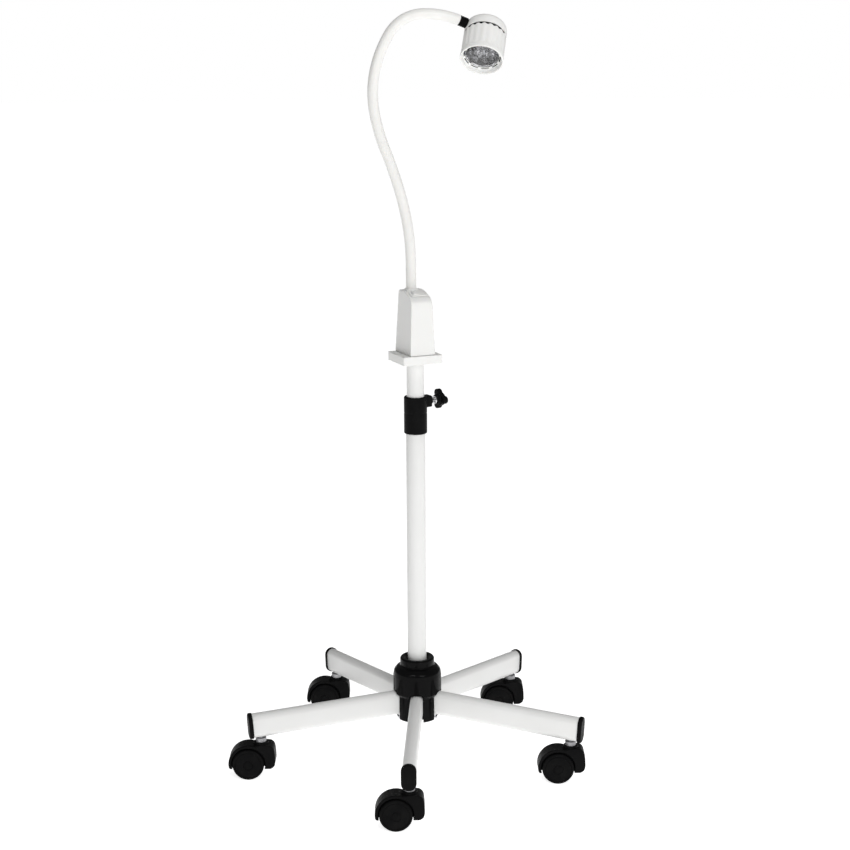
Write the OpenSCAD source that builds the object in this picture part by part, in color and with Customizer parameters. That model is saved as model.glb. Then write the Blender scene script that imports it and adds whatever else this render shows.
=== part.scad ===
// Examination light on a wheeled five-leg stand.
// Built in millimetres, +Z up, floor at z = 0, front leg towards -Y.
// Mast axis is placed by mast_x / mast_y so that the origin is the centre
// of the footprint. Upper assembly is turned by head_yaw about the mast.

/* [Base] */
// Distance from mast axis to the outer face of a leg cap
leg_reach = 276; // [220:1:340]
// Leg tube width
leg_w = 20; // [16:0.5:30]
// Leg tube height
leg_h = 40; // [30:0.5:50]
// Leg tube wall
leg_wall = 1.6; // [1:0.1:3]
// Downward slope of the legs, degrees
leg_slope = 3.3; // [0:0.1:8]
// Height of the leg centreline where it leaves the hub
leg_z = 99.4; // [80:0.2:130]
// Heading of the front leg, degrees left of -Y
leg_turn = 2.85; // [0:0.05:10]
// Radius of the circle of caster stems
stem_reach = 256; // [200:1:320]

/* [Casters] */
// Wheel diameter
wheel_d = 50; // [40:1:75]
// Trail of the axle behind the stem
trail = 20; // [10:0.5:30]
// Stem pin diameter
stem_d = 10; // [8:0.5:12]

/* [Mast] */
// Outer tube diameter
outer_d = 30; // [25:0.5:40]
// Inner tube diameter
inner_d = 27; // [20:0.5:36]
// Height of the bottom of the clamp collar
collar_z = 541; // [400:1:700]
// Clamp collar height
collar_h = 58; // [40:1:80]
// Height of the underside of the transformer housing plate
plate_z = 653.5; // [560:0.5:850]
// Direction of the clamp screw, degrees from +X towards +Y
clamp_dir = 33; // [0:1:90]

/* [Housing] */
// Turn of the housing, neck and head about the mast
head_yaw = 23; // [0:1:60]
// Base plate side
plate_w = 65; // [55:0.5:80]
// Base plate thickness
plate_t = 13.5; // [8:0.5:20]
// Housing height above the plate
box_h = 97; // [80:1:140]
// Offset of the neck behind the mast axis
neck_y = 17; // [5:0.5:18]
// Offset of the box and neck to the right of the mast axis
box_x = 1.2; // [0:0.1:4]

/* [Gooseneck] */
// Sleeve diameter
neck_d = 16; // [12:0.5:20]
// Turn of the bent neck about its foot, from the housing's own x axis
neck_turn = -8.9; // [-40:0.1:40]
// Straight length above the housing
neck_0 = 38; // [20:0.5:60]
// Length of one bending section
neck_s = 59.6; // [40:0.5:80]
// Turn of each section from the bottom up, degrees, positive to the right
bend_1 = -9.4; // [-40:0.1:40]
bend_2 = -7.7; // [-40:0.1:40]
bend_3 = -4.8; // [-40:0.1:40]
bend_4 = 12; // [-40:0.1:40]
bend_5 = 22.2; // [-40:0.1:50]
bend_6 = 20; // [-40:0.1:50]
bend_7 = 54.7; // [-40:0.1:60]
bend_8 = 24.4; // [-40:0.1:50]

/* [Head] */
// Outer diameter of the front ring
head_d = 65.6; // [50:0.2:90]
// Aim of the lamp below the horizontal, measured about the swivel
head_aim = 52.9; // [0:0.1:90]
// Lamp diameter
lamp_d = 50.4; // [35:0.2:60]

/* [Hidden] */
mast_x = 18.1;                  // mast axis from the centre of the footprint
mast_y = 19.5;
fit = 0.05;
n_legs = 5;
wr = wheel_d/2;
ball_r = neck_d/2 - 0.6;
box_z = plate_z + plate_t;
top_z = box_z + box_h;
tube_top = collar_z + collar_h - 21;
bends = [bend_1, bend_2, bend_3, bend_4, bend_5, bend_6, bend_7, bend_8];
function turn_to(i) = i <= 0 ? 0 : bends[i-1] + turn_to(i-1);
function sec_r(t) = neck_s*180/(PI*abs(t));
function chord(t) = 2*sec_r(t)*sin(abs(t)/2);
// pivot i of the neck, as [x, z] in the neck plane; pivot 0 starts section 1
function piv(i) = i <= 0 ? [0, top_z + neck_0]
  : piv(i-1) + chord(bends[i-1])*[sin(turn_to(i-1) + bends[i-1]/2), cos(turn_to(i-1) + bends[i-1]/2)];
end_p = piv(8);
end_t = turn_to(8);
swivel_l = 44.8;
function leg_zc(r) = leg_z - (r - 38)*tan(leg_slope);

$fn = 48;

module place() { translate([mast_x, mast_y, 0]) children(); }
module upper() { place() rotate([0, 0, head_yaw]) children(); }
module each_leg() { for (k = [0:n_legs-1]) place() rotate([0, 0, -90 - leg_turn + 72*k]) children(); }
module one_leg(k) { place() rotate([0, 0, -90 - leg_turn + 72*k]) children(); }
// frame running out along a leg, x = 0 at the mast axis
module on_leg() { translate([0, 0, leg_zc(0)]) rotate([0, leg_slope, 0]) children(); }
module stadium(w, h) {
  union() {
    square([w, h - w], center = true);
    translate([0, (h - w)/2]) circle(d = w);
    translate([0, -(h - w)/2]) circle(d = w);
  }
}
module along_leg(w, h, r0, r1) {
  on_leg() translate([r0, 0, 0]) rotate([90, 0, 90]) linear_extrude(height = r1 - r0) stadium(w, h);
}

// ---------------- base ----------------
module hub() color("black") place() difference() {
  rotate_extrude($fn = 96) polygon([[5.5, 73], [33, 73], [34.5, 74.5], [34.5, 113], [38.5, 117], [38.5, 148],
    [37.6, 152.5], [35.2, 156.2], [31.6, 159.2], [27.6, 161], [26.6, 162.2], [26.6, 165], [25.4, 165.8], [25.4, 168], [26.6, 168.8], [26.6, 172.4],
    [25, 174], [15 + fit, 174], [15 + fit, 78], [5.5, 78]]);
  for (k = [0:n_legs-1]) rotate([0, 0, -90 - leg_turn + 72*k]) {
    along_leg(leg_w + 0.2, leg_h + 0.2, 19.9, 60);
    translate([29, 0, 60]) cylinder(d = 5.4, h = 30);
    translate([29, 0, 60]) cylinder(d = 9.6, h = 16.2);
  }
}
module legs() color("white") each_leg() difference() {
  along_leg(leg_w, leg_h, 20, leg_reach - 6);
  along_leg(leg_w - 2*leg_wall, leg_h - 2*leg_wall, 10, leg_reach + 10);
  translate([29, 0, 60]) cylinder(d = 5.2, h = 26);
  translate([stem_reach, 0, 40]) cylinder(d = stem_d + 0.6, h = 34);
}
module leg_end_caps() color("black") each_leg() difference() {
  union() {
    along_leg(leg_w + 3.4, leg_h + 2.4, leg_reach - 6 + fit, leg_reach);
    along_leg(leg_w - 2*leg_wall - 0.1, leg_h - 2*leg_wall - 0.1, leg_reach - 36, leg_reach - 3);
  }
  translate([stem_reach, 0, 40]) cylinder(d = stem_d + 2*fit, h = 47);
}
module leg_screws() color("silver") each_leg() difference() {
  union() {
    translate([29, 0, 73.2]) cylinder(d = 9, h = 2.9);
    translate([29, 0, 75]) cylinder(d = 5, h = 14);
  }
  translate([29, 0, 72]) cylinder(d = 4, h = 2.6, $fn = 6);
}
module caster_stems() color("silver") each_leg() translate([stem_reach, 0, 0]) union() {
  translate([0, 0, 48]) cylinder(d = stem_d, h = 37);
  translate([0, 0, 59.3]) cylinder(d = 17, h = leg_zc(stem_reach) - leg_h/2 - 59.3 - 0.9);
}
module outer_tube() color("white") place() difference() {
  translate([0, 0, 78.1]) cylinder(d = outer_d, h = tube_top - 78.1, $fn = 72);
  translate([0, 0, 70]) cylinder(d = outer_d - 2, h = tube_top, $fn = 72);
}
module clamp_collar() color("black") place() difference() {
  union() {
    rotate_extrude($fn = 72) polygon([[12, collar_z + 0.8], [17.2, collar_z], [18, collar_z + 0.8], [18, collar_z + collar_h - 1.2],
      [16.8, collar_z + collar_h], [12, collar_z + collar_h]]);
    translate([0, 0, collar_z + collar_h - 9.8]) rotate([0, 0, clamp_dir]) {
      translate([12, -8, -9]) cube([15, 16, 18]);
    }
  }
  translate([0, 0, collar_z - 5]) cylinder(d = outer_d + 2*fit, h = tube_top + fit - collar_z + 5, $fn = 72);
  translate([0, 0, collar_z]) cylinder(d = inner_d + 2*fit, h = collar_h + 5, $fn = 72);
  translate([0, 0, collar_z + collar_h - 9.8]) rotate([0, 0, clamp_dir]) rotate([0, 90, 0]) {
    translate([0, 0, 10]) cylinder(d = 9, h = 8);
    cylinder(d = 8 + 2*fit, h = 40);
  }
}

// ---------------- clamp ----------------
module on_clamp() { place() translate([0, 0, collar_z + collar_h - 9.8]) rotate([0, 0, clamp_dir]) rotate([0, 90, 0]) children(); }
module clamp_pad() color("dimgray") on_clamp() difference() {
  translate([0, 0, 12.5]) cylinder(d = 8, h = 3.6);
  translate([-20, 0, 0]) rotate([0, 90, 0]) cylinder(d = inner_d + 0.2, h = 40, $fn = 72);
}
module clamp_screw() color("silver") on_clamp() union() {
  translate([0, 0, 16.4]) cylinder(d = 8, h = 30);
  translate([0, 0, 33.4]) cylinder(d = 13, h = 3);
}
module clamp_knob() color("black") on_clamp() difference() {
  union() {
    translate([0, 0, 36.5]) cylinder(d = 16, h = 6);
    translate([0, 0, 42]) linear_extrude(height = 9) union() {
      circle(d = 21);
      for (a = [60, 180, 300]) rotate([0, 0, a]) translate([0, 10.8]) circle(d = 12.4);
    }
  }
  translate([0, 0, 30]) cylinder(d = 8 + 2*fit, h = 16.5);
}

// ---------------- mast ----------------
module inner_tube() color("white") place() difference() {
  translate([0, 0, 330]) cylinder(d = inner_d, h = plate_z + 25 - 330, $fn = 72);
  translate([0, 0, 320]) cylinder(d = inner_d - 2.4, h = 500, $fn = 72);
}
module tube_glide() color("gray") place() difference() {
  union() {
    translate([0, 0, 322]) cylinder(d = outer_d - 2 - 2*fit, h = 7.9);
    translate([0, 0, 326]) cylinder(d = inner_d - 2.5, h = 22);
  }
  translate([0, 0, 300]) cylinder(d = 16, h = 80);
}

// ---------------- housing ----------------
module box_side(g) {            // seen along the housing's x axis: [y, z]
  b = box_z - (g > 0 ? 6 : 0);
  polygon([[-28 + g, b], [32 - g, b], [28.6 - g, top_z - 7 - 0.3*g], [27.6 - 0.9*g, top_z - 3.5 - 0.6*g], [25.5 - 0.4*g, top_z - 1 - 0.9*g],
    [20, top_z - g], [10, top_z - 0.4 - g], [0, top_z - 2.5 - g], [-12 + 0.3*g, top_z - 6.5 - 0.95*g], [-20 + 0.6*g, top_z - 11 - 0.8*g],
    [-24 + 0.9*g, top_z - 15 - 0.5*g], [-25.3 + g, top_z - 20 - 0.3*g]]);
}
module box_front(g) {           // seen along the housing's y axis: [x, z]
  b = box_z - (g > 0 ? 6 : 0);
  translate([box_x, 0]) polygon([[-19.6 + g, b], [19.6 - g, b], [17.2 - g, top_z - 20], [16.8 - g, top_z - 3.4], [15.2 - 0.6*g, top_z + 0.6], [12, top_z + 1],
    [-12, top_z + 1], [-15.2 + 0.6*g, top_z + 0.6], [-16.8 + g, top_z - 3.4], [-17.2 + g, top_z - 20]]);
}
module box_form(g) {
  intersection() {
    translate([-40, 0, 0]) rotate([90, 0, 90]) linear_extrude(height = 80) box_side(g);
    translate([0, 40, 0]) rotate([90, 0, 0]) linear_extrude(height = 80) box_front(g);
  }
}
module on_switch() { translate([box_x + 1, -7.5, top_z - 5]) rotate([18.43, 0, 0]) children(); }
module at_screws() { for (i = [-1, 1], y = [-23.2, 27]) translate([box_x + 14.4*i, y, 0]) children(); }
module housing_shell() color("white") upper() difference() {
  union() {
    difference() {
      box_form(0);
      difference() {
        box_form(2.4);
        translate([box_x, neck_y, top_z - 14]) cylinder(d = 25, h = 20);
      }
    }
    at_screws() translate([0, 0, box_z]) cylinder(d = 8, h = 12);
  }
  at_screws() translate([0, 0, box_z - 1]) cylinder(d = 3.4, h = 9);
  translate([box_x, neck_y, top_z - 30]) cylinder(d = neck_d + 2*fit, h = 60);
  on_switch() translate([-12.1, -6.1, -20]) cube([24.2, 12.2, 40]);
  translate([box_x, 10, box_z + 13]) rotate([-90, 0, 0]) cylinder(d = 11, h = 30);
  translate([-12.4, 8, top_z - 3.4]) cylinder(d = 4.2, h = 5);
}
module base_plate() color("white") upper() difference() {
  union() {
    translate([0, 0, plate_z]) linear_extrude(height = plate_t) union() {
      square([plate_w - 6, plate_w], center = true);
      square([plate_w, plate_w - 6], center = true);
      for (i = [-1, 1], j = [-1, 1]) translate([i*(plate_w/2 - 3), j*(plate_w/2 - 3)]) circle(r = 3);
    }
    translate([0, 0, plate_z + 5]) cylinder(d = 30.6, h = plate_t + 9);
  }
  translate([0, 0, plate_z - 1]) cylinder(d = inner_d + 2*fit, h = 26.1, $fn = 72);
  at_screws() translate([0, 0, plate_z - 1]) {
    cylinder(d = 3.4, h = 30);
    cylinder(d = 7, h = 5);
  }
}
module transformer() color("gray") upper() union() {
  translate([-12.8, -14, plate_z + plate_t + 14.1]) cube([28, 32, 36]);
  translate([-8.8, -20, plate_z + plate_t + 20.1]) cube([20, 44, 24]);
}
module housing_screws() color("silver") upper() {
  at_screws() translate([0, 0, plate_z + 0.6]) union() {
    cylinder(d = 6.6, h = 3.3);
    cylinder(d = 3.3, h = 18);
  }
  translate([-12.4, 8, top_z - 3.3]) cylinder(d = 4, h = 3.4);
}
module switch_frame() color("white") upper() on_switch() difference() {
  union() {
    translate([-13.5, -7.5, 0.05]) cube([27, 15, 1.6]);
    translate([-12, -6, -11]) cube([24, 12, 11.6]);
  }
  translate([-10.6, -5.2, -9]) cube([21.2, 10.4, 30]);
}
module switch_rocker() color("white") upper() on_switch() translate([0, 0, -1]) rotate([0, 7, 0])
  translate([0, 5, 0]) rotate([90, 0, 0]) linear_extrude(height = 10) intersection() {
    circle(r = 10.5, $fn = 96);
    polygon([[-11, -2.6], [11, -2.6], [11, 2.9 + 11*tan(7)], [0, 2.9], [-11, 2.9 + 11*tan(7)]]);
  }
module cable_gland() color("dimgray") upper() translate([box_x, 0, box_z + 13]) rotate([-90, 0, 0]) difference() {
  union() {
    translate([0, 0, 31.95]) cylinder(d = 16, h = 4.95);
    translate([0, 0, 24.9]) cylinder(d = 10.8, h = 8);
  }
  translate([0, 0, 10]) cylinder(d = 7, h = 40);
}
module neck_clip() color("silver") upper() translate([box_x, neck_y, top_z - 16.8]) difference() {
  cylinder(d = 22, h = 2.4);
  translate([0, 0, -1]) cylinder(r = neck_d/2 - 1 + fit, h = 20);
  translate([-20, 6.8, -1]) cube([40, 20, 6]);
}

// ---------------- gooseneck ----------------
module in_neck() { upper() translate([box_x, neck_y, 0]) rotate([0, 0, neck_turn]) children(); }
module sec_arc(t, r, a0, a1) {
  rr = sec_r(t);
  rotate([0, 0, t > 0 ? 180 : 0]) translate([-rr, 0, 0]) rotate([90, 0, 0]) rotate([0, 0, a0])
    rotate_extrude(angle = a1 - a0, $fn = 180) translate([rr, 0]) circle(r = r, $fn = 40);
}
// socket that clears the ball of the next section
module seat() { rotate_extrude($fn = 48) polygon([[0, -7.9], [3.4, -7.9], [6, -5.2], [ball_r + 0.1, -2.1], [ball_r + 0.1, 2], [0, 2]]); }
module neck_base() color("white") in_neck() difference() {
  translate([0, 0, top_z - 23]) cylinder(d = neck_d, h = 23 + neck_0 - 2);
  translate([0, 0, top_z - 16.9]) difference() {
    cylinder(d = neck_d + 6, h = 2.6);
    translate([0, 0, -1]) cylinder(r = neck_d/2 - 1, h = 5);
  }
  translate([0, 0, top_z - 30]) cylinder(d = 6, h = 80);
  translate([0, 0, top_z + neck_0]) seat();
}
module neck_section(i) {
  t = bends[i-1];
  a = abs(t);
  g = 2/sec_r(t)*180/PI;
  last = i == 8;
  color("white") in_neck() translate([piv(i-1)[0], 0, piv(i-1)[1]]) rotate([0, turn_to(i-1), 0]) difference() {
    union() {
      sec_arc(t, neck_d/2, g, last ? a : a - g);
      intersection() {
        sphere(r = ball_r);
        translate([0, 0, -7]) cylinder(r = 12, h = 7 + 4);
      }
    }
    translate([0, 0, -12]) cylinder(r = 3.3, h = 15);
    sec_arc(t, 3, g/2, last ? a - 4 : a + 1);
    if (last) rotate([0, 0, 180]) translate([-sec_r(t), 0, 0]) rotate([90, 0, 0]) rotate([0, 0, a]) translate([sec_r(t), 0, 0]) rotate([90, 0, 0])
      translate([0, 0, -2]) cylinder(r = 5 + fit, h = 14);
    if (!last) translate([chord(t)*sin(t/2), 0, chord(t)*cos(t/2)]) rotate([0, t, 0]) seat();
  }
}
module neck_section_1() neck_section(1);
module neck_section_2() neck_section(2);
module neck_section_3() neck_section(3);
module neck_section_4() neck_section(4);
module neck_section_5() neck_section(5);
module neck_section_6() neck_section(6);
module neck_section_7() neck_section(7);
module neck_section_8() neck_section(8);

// ---------------- head: x along the swivel pin, +z towards the light ----------------
module on_head() { in_neck() translate([end_p[0], 0, end_p[1]]) rotate([0, end_t - 90, 0]) translate([swivel_l, 0, 0]) rotate([90 + head_aim, 0, 0]) children(); }
module along_pin() { rotate([0, 90, 0]) children(); }
module neck_end_pin() color("silver") on_head() along_pin() difference() {
  union() {
    translate([0, 0, -swivel_l - 9]) cylinder(r = 5, h = 34);
    translate([0, 0, -swivel_l + 19.2]) cylinder(r = 7, h = 2.5);
  }
  translate([0, 0, -60]) cylinder(r = 2.5, h = 80);
}
module swivel_sleeve() color("black") on_head() along_pin() difference() {
  union() {
    translate([0, 0, -swivel_l + 0.3]) cylinder(r = 7.2, h = 18.6);
    for (i = [0:3]) translate([0, 0, -swivel_l + 0.4 + 3.2*i]) cylinder(r = 8, h = 2.1);
  }
  translate([0, 0, -60]) cylinder(r = 5 + fit, h = 60);
}
module head_rear_cap() color("white") on_head() difference() {
  rotate_extrude($fn = 96) polygon([[0, -11.8], [23.9, -11.8], [27.9, -10.7], [30.6, -8.2], [31.9, -4.6], [32.3, 8.4], [29, 8.4],
    [28.9, -2.5], [26.8, -6.8], [23.5, -9.2], [0, -9.2]]);
  along_pin() translate([0, 0, -40]) cylinder(r = 7.2 + fit, h = 20);
}
module head_vent_ring() color("black") on_head() difference() {
  translate([0, 0, 6.2]) cylinder(r = 28.9, h = 14, $fn = 72);
  translate([0, 0, 5]) cylinder(r = 27.2, h = 20, $fn = 72);
  along_pin() translate([0, 0, -40]) cylinder(r = 8.4, h = 20);
}
module head_body() color("white") on_head() difference() {
  rotate_extrude($fn = 96) polygon([[29, 12], [31.9, 12], [32.3, 14], [32.3, 50], [29, 50]]);
  for (a = [0:18:359]) rotate([0, 0, a + 9]) {
    translate([35.6, 0, 15]) cylinder(r = 4.2, h = 32.5);
    translate([34.6, 0, 12.4]) rotate([0, -90, 0]) cylinder(r = 3.4, h = 9);
  }
}
module bezel() color("white") on_head() difference() {
  rotate_extrude($fn = 96) polygon([[25.6, 47.6], [28.9, 47.6], [28.9, 50.1], [32.3, 50.1], [head_d/2, 50.9], [head_d/2, 56.2], [32.1, 57], [31.2, 57],
    [30.4, 56.2], [28.4, 50.4], [27.9, 49.6], [25.6, 49.4]]);
  for (a = [0:30:359]) rotate([0, 0, a + 15]) rotate([0, 0, -11]) rotate_extrude(angle = 22, $fn = 96) translate([26, 44]) square([1.9, 14]);
}
module lamp_reflector() color("silver") on_head() rotate_extrude($fn = 64) polygon([[6.2, 14.2], [9, 14.6], [15, 20], [20.4, 28.2],
  [23.6, 37.8], [lamp_d/2, 45.5], [lamp_d/2, 47.5], [23.7, 47.5], [22.4, 38.4], [19.2, 29], [14, 21.2], [8.3, 16.6], [6.2, 16.2]]);
module lamp_glass() color("lightblue") on_head() translate([0, 0, 47.6]) cylinder(d = lamp_d, h = 1.2, $fn = 64);
module lamp_capsule() color("white") on_head() union() {
  translate([0, 0, 9.6]) cylinder(r = 4.4, h = 12);
  translate([0, 0, 20]) cylinder(r = 4.9, h = 11);
  translate([0, 0, 30]) cylinder(r1 = 4.5, r2 = 1.4, h = 5);
}
module lamp_base() color("beige") on_head() difference() {
  union() {
    translate([-7.5, -5.5, 2.2]) cube([15, 11, 11.9]);
    for (i = [-1, 1]) translate([2.65*i, 0, -3]) cylinder(d = 1.5, h = 6);
  }
  translate([0, 0, 9.5]) cylinder(r = 4.45, h = 10);
}
module lamp_socket() color("beige") on_head() difference() {
  translate([-9, -7, -5.6]) cube([18, 14, 7.7]);
  for (i = [-1, 1]) translate([2.65*i, 0, -4]) cylinder(d = 1.6, h = 10);
}

// ---------------- casters ----------------
module on_caster(k) {
  a = -90 - leg_turn + 72*k;
  translate([mast_x + stem_reach*cos(a), mast_y + stem_reach*sin(a), 0]) children();
}
module hood_side() {
  union() {
    intersection() {
      translate([-trail, wr]) circle(r = wr + 6.4, $fn = 64);
      translate([-trail - 40, wr - 5]) square([70, 60]);
    }
    polygon([[-trail + 6, wr - 5], [17, wr - 5], [21.5, wr - 2], [23, wr + 6], [21, wr + 25.5], [17, wr + 30], [8, wr + 32], [-6, wr + 32], [-trail + 6, wr + 30.7]]);
  }
}
module caster_hood(k) color("black") on_caster(k) difference() {
  union() {
    translate([0, 14.5, 0]) rotate([90, 0, 0]) linear_extrude(height = 29) hood_side();
    translate([0, 0, 52]) cylinder(d = 20, h = 6.9);
  }
  for (s = [-1, 1]) translate([-trail, s*(2.6 + 15), wr]) rotate([90, 0, 0]) cylinder(r = wr + 1, h = 30, center = true, $fn = 64);
  translate([0, 0, 47.4]) cylinder(d = stem_d + 2*fit, h = 30);
  translate([-trail, 0, wr]) rotate([90, 0, 0]) cylinder(d = 6 + 2*fit, h = 40, center = true);
}
module caster_axle(k) color("silver") on_caster(k) translate([-trail, 0, wr]) rotate([90, 0, 0]) cylinder(d = 6, h = 33, center = true);
module caster_wheel(k, s) color("black") on_caster(k) translate([-trail, 0, wr]) rotate([s*-90, 0, 0]) difference() {
  rotate_extrude($fn = 72) polygon([[3 + fit, 3], [wr - 1.5, 3], [wr, 4.5], [wr, 15], [wr - 1.6, 17.2], [wr - 5, 18], [0, 18], [0, 16.8], [3 + fit, 16.8]]);
}
module caster_1_hood() caster_hood(0);
module caster_2_hood() caster_hood(1);
module caster_3_hood() caster_hood(2);
module caster_4_hood() caster_hood(3);
module caster_5_hood() caster_hood(4);
module caster_1_axle() caster_axle(0);
module caster_2_axle() caster_axle(1);
module caster_3_axle() caster_axle(2);
module caster_4_axle() caster_axle(3);
module caster_5_axle() caster_axle(4);
module caster_1_wheel_a() caster_wheel(0, 1);
module caster_2_wheel_a() caster_wheel(1, 1);
module caster_3_wheel_a() caster_wheel(2, 1);
module caster_4_wheel_a() caster_wheel(3, 1);
module caster_5_wheel_a() caster_wheel(4, 1);
module caster_1_wheel_b() caster_wheel(0, -1);
module caster_2_wheel_b() caster_wheel(1, -1);
module caster_3_wheel_b() caster_wheel(2, -1);
module caster_4_wheel_b() caster_wheel(3, -1);
module caster_5_wheel_b() caster_wheel(4, -1);

hub();
legs();
leg_end_caps();
leg_screws();
caster_stems();
outer_tube();
clamp_collar();
clamp_pad();
clamp_screw();
clamp_knob();
inner_tube();
tube_glide();
housing_shell();
base_plate();
transformer();
housing_screws();
switch_frame();
switch_rocker();
cable_gland();
neck_clip();
neck_base();
neck_section_1();
neck_section_2();
neck_section_3();
neck_section_4();
neck_section_5();
neck_section_6();
neck_section_7();
neck_section_8();
neck_end_pin();
swivel_sleeve();
head_rear_cap();
head_vent_ring();
head_body();
bezel();
lamp_reflector();
lamp_glass();
lamp_capsule();
lamp_base();
lamp_socket();
caster_1_hood();
caster_1_axle();
caster_1_wheel_a();
caster_1_wheel_b();
caster_2_hood();
caster_2_axle();
caster_2_wheel_a();
caster_2_wheel_b();
caster_3_hood();
caster_3_axle();
caster_3_wheel_a();
caster_3_wheel_b();
caster_4_hood();
caster_4_axle();
caster_4_wheel_a();
caster_4_wheel_b();
caster_5_hood();
caster_5_axle();
caster_5_wheel_a();
caster_5_wheel_b();
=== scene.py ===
import bpy, bmesh, math
from mathutils import Matrix, Vector


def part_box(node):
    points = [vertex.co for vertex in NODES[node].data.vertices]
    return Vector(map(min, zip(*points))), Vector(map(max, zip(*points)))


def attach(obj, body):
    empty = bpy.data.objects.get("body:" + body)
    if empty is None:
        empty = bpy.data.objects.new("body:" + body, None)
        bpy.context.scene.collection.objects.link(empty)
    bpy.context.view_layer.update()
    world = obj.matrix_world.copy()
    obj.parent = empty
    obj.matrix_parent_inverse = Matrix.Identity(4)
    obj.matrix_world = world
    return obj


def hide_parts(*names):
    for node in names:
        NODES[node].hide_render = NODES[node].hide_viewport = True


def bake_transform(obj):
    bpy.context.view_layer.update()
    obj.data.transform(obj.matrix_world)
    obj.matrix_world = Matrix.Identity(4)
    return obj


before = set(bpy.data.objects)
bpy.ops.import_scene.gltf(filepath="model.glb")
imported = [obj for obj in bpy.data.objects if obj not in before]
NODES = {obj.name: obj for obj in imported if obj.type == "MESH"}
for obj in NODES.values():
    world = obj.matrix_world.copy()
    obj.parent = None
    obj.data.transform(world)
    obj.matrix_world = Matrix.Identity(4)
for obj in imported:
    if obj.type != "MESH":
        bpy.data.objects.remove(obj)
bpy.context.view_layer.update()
PI = math.pi


# --------------------------------------------------------------------------
# frames, in millimetres; every mesh is scaled to metres as it is finished
# --------------------------------------------------------------------------
def T(x, y, z):
    return Matrix.Translation((x, y, z))


def R(a, ax):
    return Matrix.Rotation(math.radians(a), 4, ax)


tube_lo, tube_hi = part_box("outer_tube")
MX = (tube_lo.x + tube_hi.x) * 500
MY = (tube_lo.y + tube_hi.y) * 500
plate_lo, plate_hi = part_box("base_plate")
PLATE_Z = plate_lo.z * 1000
BOX_Z = PLATE_Z + 13.5
TOP_Z = BOX_Z + 97
MAST = T(MX, MY, 0)
YAW = 23
UPPER = MAST @ R(YAW, "Z")
BOX_X, NECK_Y = 1.2, 17
NECK = UPPER @ T(BOX_X, NECK_Y, 0) @ R(-8.9, "Z")
SWL = 44.8
SEC = 59.6
TURNS = [-9.4, -7.7, -4.8, 12, 22.2, 20, 54.7, 24.4]


def arc_from(p, phi, turn, s):
    """point at length s along an arc that starts at p with heading phi"""
    t = math.radians(turn)
    rad = SEC / t
    a = math.radians(phi)
    b = a + t * s / SEC
    return (p[0] + rad * (math.cos(a) - math.cos(b)), p[1] + rad * (math.sin(b) - math.sin(a))), math.degrees(b)


PIV, HEAD = [(0.0, TOP_Z + 38.0)], [0.0]
for t in TURNS:
    q, h = arc_from(PIV[-1], HEAD[-1], t, SEC)
    PIV.append(q)
    HEAD.append(h)
LAMP = NECK @ T(PIV[8][0], 0, PIV[8][1]) @ R(HEAD[8] - 90, "Y") @ T(SWL, 0, 0) @ R(142.9, "X")
CLAMP = MAST @ T(0, 0, 589.2) @ R(33, "Z") @ R(90, "Y")
SWITCH = UPPER @ T(BOX_X + 1, -7.5, TOP_Z - 5) @ R(18.43, "X")
LEG_TURN, SLOPE = 2.85, 3.3


def leg_dir(k):
    return -90 - LEG_TURN + 72 * k


def leg_frame(k):
    z0 = 99.4 + 38 * math.tan(math.radians(SLOPE))
    return MAST @ R(leg_dir(k), "Z") @ T(0, 0, z0) @ R(SLOPE, "Y")


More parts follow.
